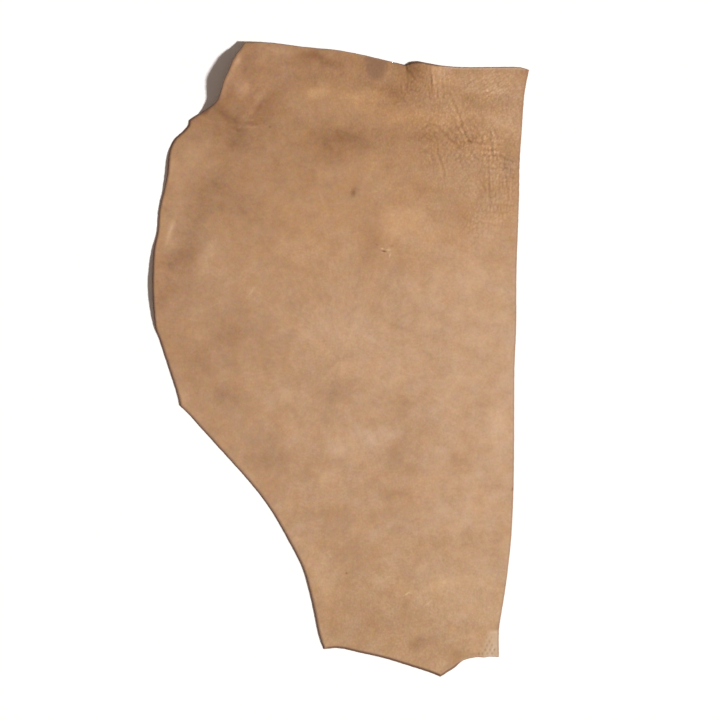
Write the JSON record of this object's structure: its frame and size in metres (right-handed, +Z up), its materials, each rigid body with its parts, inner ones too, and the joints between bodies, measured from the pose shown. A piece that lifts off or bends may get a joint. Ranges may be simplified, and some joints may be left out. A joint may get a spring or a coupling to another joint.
{
  "type": "leather shoulder",
  "caption": "Shoulder of vegetable-tanned leather, a thick sheet with a natural belly edge, lying flat with a curled corner and a rippled neck.",
  "frame": {"origin": "under the middle of the outline's bounding box, on the surface that the sheet lies on", "axes": "+X from the belly edge to the backbone edge, +Y from the rear cut to the neck, +Z up through the grain side"},
  "size_m": [0.5814, 0.9782, 0.021],
  "materials": {
    "leather": "smooth undyed grain, matt to soft satin, with clouded light and dark patches"
  },
  "bodies": {
    "root": {"shoulder_leather": "leather"}
  },
  "joints": []
}
